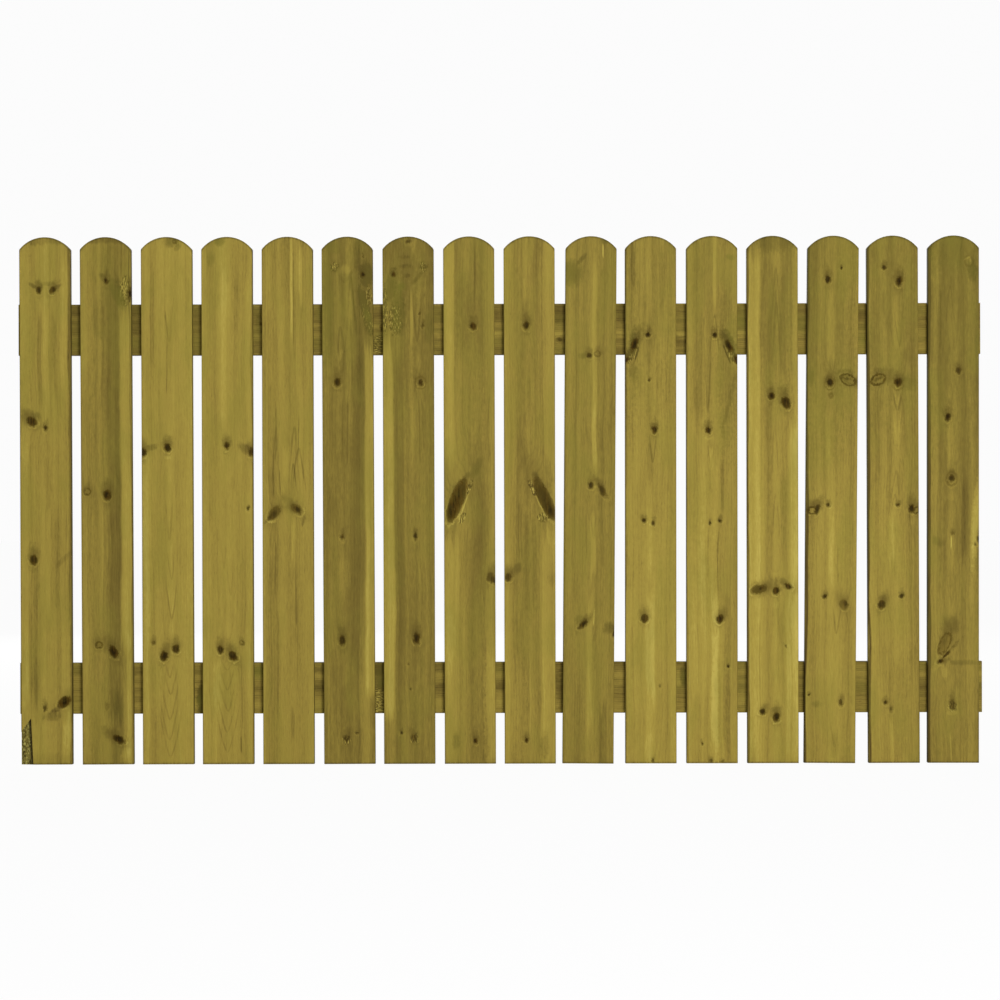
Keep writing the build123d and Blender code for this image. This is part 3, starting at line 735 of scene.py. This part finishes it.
# Sixteenth pale: the brownest board, with a strip of sapwood at its right edge and a loose oval knot.
pale(
    16, (-4, 18), -0.01, 0.42, 0.05,
    knots=((29, 951, 8, 9, 0, 0.25, 0.3), (9, 744, 5.5, 6, 0, 0.85, 0.95), (-11, 657, 5.5, 8, 0, 1, 1),
           (-4, 540, 6, 7.5, 0, 0.9, 0.95), (-4, 539, 10, 13, 0, 0.45, 0.15),
           (-2, 436, 3, 3.4, 0, 0.6, 0.8), (48, 425, 2.4, 6, 0, 1, 1), (42, 414, 2.2, 2.2, 0, 0.6, 1),
           (-17, 226, 9, 20, 25, 0.9, 0.55), (-20, 228, 4, 11, 22, 0.35, 0.9), (-24, 193, 4, 6, 70, 1, 1),
           (-13, 206, 2, 14, 42, 0.95, 1), (-2, 112, 5, 8, 0, 0.75, 0.85)),
    # The broad clouds at 930 and 150 mm up are painted light and shade, darker above and lighter below; the
    # upper one also adds a green stain.
    clouds=((0, 930, 75, 330, 0, -0.07, 0.15), (-38, 850, 14, 250, 0, -0.07, 0),
            (40, 790, 12, 130, 0, -0.1, 0), (0, 150, 60, 250, 0, 0.04, 0),
            (0, 985, 50, 60, 0, -0.1, 0.15), (36, 933, 10, 20, -8, -0.26, 0.2),
            (26, 957, 2, 8, 60, 0.34, 0), (32, 950, 2, 7, 0, 0.25, 0), (-8, 262, 18, 16, 30, -0.16, 0.1),
            (20, 190, 30, 5, 0, -0.14, 0.1), (-3, 95, 10, 5, 0, 0.22, 0), (-17, 172, 5, 14, -10, 0.2, 0),
            (-30, 420, 12, 8, 40, -0.12, 0.2), (40, 330, 10, 40, 0, 0.1, 0), (41, 450, 7, 85, 3, 0.42, 0)),
    # The dark strip down the left edge, -46.5 mm across, is painted shade for the shaded side face.
    streaks=((20, 6, 380, 560, -0.14), (-46.5, 2.5, -80, 1080, -0.6), (-5, 1.2, 405, 432, 0.45),
             (-5, 1.2, -10, 60, 0.25), (-10, 3, 540, 740, 0.1), (-28, 4, 300, 900, -0.08)),
    flames=((-7, 905, 11, -110, 1.2, -0.2), (2, 780, 8, 90, 1, -0.14), (3, 730, 9, -70, 1, -0.12)),
    torn=((-2, 106, 9, 10, 0),),
)


# Wane: the first pale was sawn so near the outside of its log that bark is left at its lower left
# corner. It lies in the hollow that the planer didn't reach, cracked along the trunk, and thins to a point.

WANE_CORNERS = (Vector((-48.5, 0.0)), Vector((-25.5, 0.0)), Vector((-29.5, 88.0)), Vector((-48.5, 62.0)))
WANE_STEP = 2.0
WANE_DEPTH = 6.0
BARK_ROOT = 0.5  # how far its back reaches into the wood

shape = bmesh.new()
bmesh.ops.create_grid(shape, x_segments=18, y_segments=54, size=0.5)
low_left, low_right, top_right, top_left = WANE_CORNERS
for vertex in shape.verts:
    aside = vertex.co.x + 0.5
    climb = vertex.co.y + 0.5
    spot = low_left.lerp(low_right, aside).lerp(top_left.lerp(top_right, aside), climb)
    floor_depth = WANE_STEP + (WANE_DEPTH - WANE_STEP) * (low_right.x - spot.x) / (low_right.x - low_left.x)
    ridges = noise.noise(Vector((spot.x * 0.28, spot.y * 0.09, 4.0)))
    scales = noise.noise(Vector((spot.x * 0.6, spot.y * 0.35, 9.0)))
    edge = min(1.0, 6 * aside, 6 * (1 - aside), 10 * (1 - climb), 12 * climb + 0.3)
    thick = edge * (1.5 + 1.6 * ridges + 1.1 * scales)
    vertex.co = (spot.x, floor_depth - max(thick, 0.1), spot.y)
front = shape.faces[:]
back = bmesh.ops.extrude_face_region(shape, geom=front)["geom"]
for vertex in back:
    if isinstance(vertex, bmesh.types.BMVert):
        aside = (low_right.x - vertex.co.x) / (low_right.x - low_left.x)
        vertex.co.y = WANE_STEP + (WANE_DEPTH - WANE_STEP) * aside + BARK_ROOT
bmesh.ops.recalc_face_normals(shape, faces=shape.faces)
foot, lean = stand("pale_01")
in_place = Matrix.Translation(foot) @ Matrix.Rotation(lean, 4, "Y") @ Matrix.Scale(MM, 4)
bmesh.ops.transform(shape, matrix=in_place, verts=shape.verts)
bark_mesh = bpy.data.meshes.new("wane_bark")
shape.to_mesh(bark_mesh)
shape.free()

bark = bpy.data.materials.new("bark")
bark.use_nodes = True
tree = bark.node_tree
shader = tree.nodes["Principled BSDF"]
on_pale = {"Vector": put(tree, "TexCoord").outputs["Object"], "Location": foot, "Rotation": (0.0, lean, 0.0),
           "Scale": (MM, MM, MM)}
point = put(tree, "Mapping", on_pale, vector_type="TEXTURE").outputs[0]
plates = grain_noise(point, (0.28, 0.3, 0.14), (2.0, 5.0, 1.0), 3.0, 0.65).outputs["Fac"]
flecks = grain_noise(point, (0.32, 0.4, 0.2), (7.0, 1.0, 4.0), 2.0, 0.65).outputs["Fac"]
colour = laid_over(ramp(plates, 0.36, 0.56), finish_colour(62, 54, 22), finish_colour(128, 116, 54))
colour = laid_over(ramp(flecks, 0.52, 0.64), colour, finish_colour(176, 168, 92))
# Painted shadow: a near-black line down the bark's right edge, where the hollow steps down from the planed
# face.
parts = put(tree, "SeparateXYZ", {0: point}).outputs
lean_in = (WANE_CORNERS[1].x - WANE_CORNERS[2].x) / WANE_CORNERS[2].y
inward = calc("MULTIPLY_ADD", parts["Z"], lean_in, parts["X"])
painted_step_shadow = ramp(inward, WANE_CORNERS[1].x - 7, WANE_CORNERS[1].x - 2.5, 0.0, 0.9)
colour = laid_over(painted_step_shadow, colour, finish_colour(26, 22, 9))
tree.links.new(colour, shader.inputs["Base Color"])
tree.links.new(ramp(plates, 0.3, 0.7, 0.95, 0.75), shader.inputs["Roughness"])
bump = put(tree, "Bump", {"Height": calc("ADD", plates, flecks), "Strength": 0.5, "Distance": 1.0 * MM})
tree.links.new(bump.outputs[0], shader.inputs["Normal"])
shader.inputs["Specular IOR Level"].default_value = 0.06
bark_mesh.materials.append(bark)
wane_bark = bpy.data.objects.new("wane_bark", bark_mesh)
bpy.context.scene.collection.objects.link(wane_bark)
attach(wane_bark, "root")


# Nails: galvanised nails with flat heads, driven from behind through the rails into the pales, two at
# each crossing and never quite in line. Their heads stand half a millimetre proud.

HEAD_RADIUS = 3.4 * MM
HEAD_PROUD = 0.5 * MM
zinc = bpy.data.materials.new("galvanised_steel")
zinc.use_nodes = True
tree = zinc.node_tree
shader = tree.nodes["Principled BSDF"]
metres = put(tree, "TexCoord").outputs["Object"]
point = put(tree, "VectorMath", {0: metres, 3: 1000.0}, operation="SCALE").outputs[0]
spangle = grain_noise(point, (0.5, 0.5, 0.5), (1.0, 2.0, 3.0), 2.0, 0.6).outputs["Fac"]
colour = laid_over(ramp(spangle, 0.35, 0.65), finish_colour(112, 114, 112), finish_colour(168, 170, 168))
tree.links.new(colour, shader.inputs["Base Color"])
tree.links.new(ramp(spangle, 0.3, 0.7, 0.6, 0.4), shader.inputs["Roughness"])
shader.inputs["Metallic"].default_value = 1.0

for rail in ("top_rail", "bottom_rail"):
    low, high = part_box(rail)
    shape = bmesh.new()
    for number in range(1, 17):
        pale_low, pale_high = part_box(f"pale_{number:02d}")
        for side in (-1, 1):
            slip = [4 * MM * noise.noise(Vector((number * 1.7, side * 3.1, low.z * 9 + axis)))
                    for axis in (0.3, 7.6)]
            place = Vector(((pale_low.x + pale_high.x) / 2 + side * 24 * MM + slip[0], high.y,
                            (low.z + high.z) / 2 + side * 20 * MM + slip[1]))
            turn = Matrix.Translation(place) @ Matrix.Rotation(-math.pi / 2, 4, "X")
            head = bmesh.ops.create_circle(shape, cap_ends=True, segments=12, radius=HEAD_RADIUS,
                                           matrix=turn)["verts"]
            face = [face for face in head[0].link_faces if len(face.verts) == 12]
            bmesh.ops.translate(shape, verts=head, vec=(0.0, -HEAD_PROUD, 0.0))
            wall = bmesh.ops.extrude_face_region(shape, geom=face)["geom"]
            cap = [part for part in wall if isinstance(part, bmesh.types.BMFace)]
            bmesh.ops.translate(shape, verts=cap[0].verts[:], vec=(0.0, 1.6 * HEAD_PROUD, 0.0))
            bmesh.ops.inset_region(shape, faces=cap, thickness=0.7 * MM, depth=0.4 * HEAD_PROUD)
    bmesh.ops.recalc_face_normals(shape, faces=shape.faces)
    nail_mesh = bpy.data.meshes.new(rail + "_nails")
    shape.to_mesh(nail_mesh)
    shape.free()
    nail_mesh.materials.append(zinc)
    nails = bpy.data.objects.new(rail + "_nails", nail_mesh)
    bpy.context.scene.collection.objects.link(nails)
    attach(nails, "root")


# Floor, light and camera: a pale floor under the pales' feet, soft light from the front with a little
# more from the right, and the camera square to the panel at half its height.

FLOOR_LEVEL = cad_box[0].z
floor_mesh = bpy.data.meshes.new("floor")
shape = bmesh.new()
level_with_feet = Matrix.Translation((0, 0, FLOOR_LEVEL))
bmesh.ops.create_grid(shape, x_segments=1, y_segments=1, size=30.0, matrix=level_with_feet)
shape.to_mesh(floor_mesh)
shape.free()
floor = bpy.data.objects.new("floor", floor_mesh)
bpy.context.scene.collection.objects.link(floor)


def seen(tree):
    """1 for what the camera sees, straight or in a reflection, and 0 for light that falls on the panel."""
    path = put(tree, "LightPath").outputs
    mirrored = calc("MAXIMUM", path["Is Glossy Ray"], path["Is Transmission Ray"])
    return calc("MAXIMUM", path["Is Camera Ray"], mirrored)


floor_finish = bpy.data.materials.new("pale_floor")
floor_finish.use_nodes = True
floor_finish.cycles.emission_sampling = "NONE"
tree = floor_finish.node_tree
tree.nodes.remove(tree.nodes["Principled BSDF"])
matt = put(tree, "BsdfDiffuse", {"Color": finish_colour(250, 250, 248)})
glow = put(tree, "Emission", {"Color": (1.0, 1.0, 1.0, 1.0), "Strength": 1.0})
share = calc("MULTIPLY", seen(tree), 0.96)
mixed = put(tree, "MixShader", {0: share, 1: matt.outputs[0], 2: glow.outputs[0]})
tree.links.new(mixed.outputs[0], tree.nodes["Material Output"].inputs["Surface"])
floor_mesh.materials.append(floor_finish)

world = bpy.data.worlds.new("studio")
bpy.context.scene.world = world
world.use_nodes = True
tree = world.node_tree
backdrop = tree.nodes["Background"]
backdrop.inputs["Color"].default_value = (1.0, 1.0, 1.0, 1.0)
level = put(tree, "MapRange", {"Value": seen(tree), "To Min": 0.18, "To Max": 0.972})
tree.links.new(level.outputs["Result"], backdrop.inputs["Strength"])

aim = (cad_box[0] + cad_box[1]) / 2
for name, place, width, power in (
    ("key", (1.3, -5.2, 0.3), 1.8, 164.0),
    ("fill", (0.7, -6.0, -0.5), 2.2, 107.0),
    ("back", (-0.8, 5.0, 1.2), 2.5, 110.0),
):
    lamp = bpy.data.lights.new(name, "AREA")
    lamp.shape = "DISK"
    lamp.size = width
    lamp.energy = power
    holder = bpy.data.objects.new(name, lamp)
    holder.location = place
    holder.rotation_euler = (aim - Vector(place)).to_track_quat("-Z", "Y").to_euler()
    bpy.context.scene.collection.objects.link(holder)

CAMERA_DISTANCE = 5.5
VIEW_WIDTH = 1.8961
CAMERA_ROLL = 0.002
lens = bpy.data.cameras.new("camera")
lens.sensor_width = 36.0
lens.lens = lens.sensor_width * CAMERA_DISTANCE / VIEW_WIDTH
camera = bpy.data.objects.new("camera", lens)
camera.location = (0.0005, cad_box[0].y - CAMERA_DISTANCE, -0.325)
camera.rotation_euler = (math.pi / 2, CAMERA_ROLL, 0.0)
bpy.context.scene.collection.objects.link(camera)
bpy.context.scene.camera = camera
bpy.context.scene.view_settings.view_transform = "Standard"
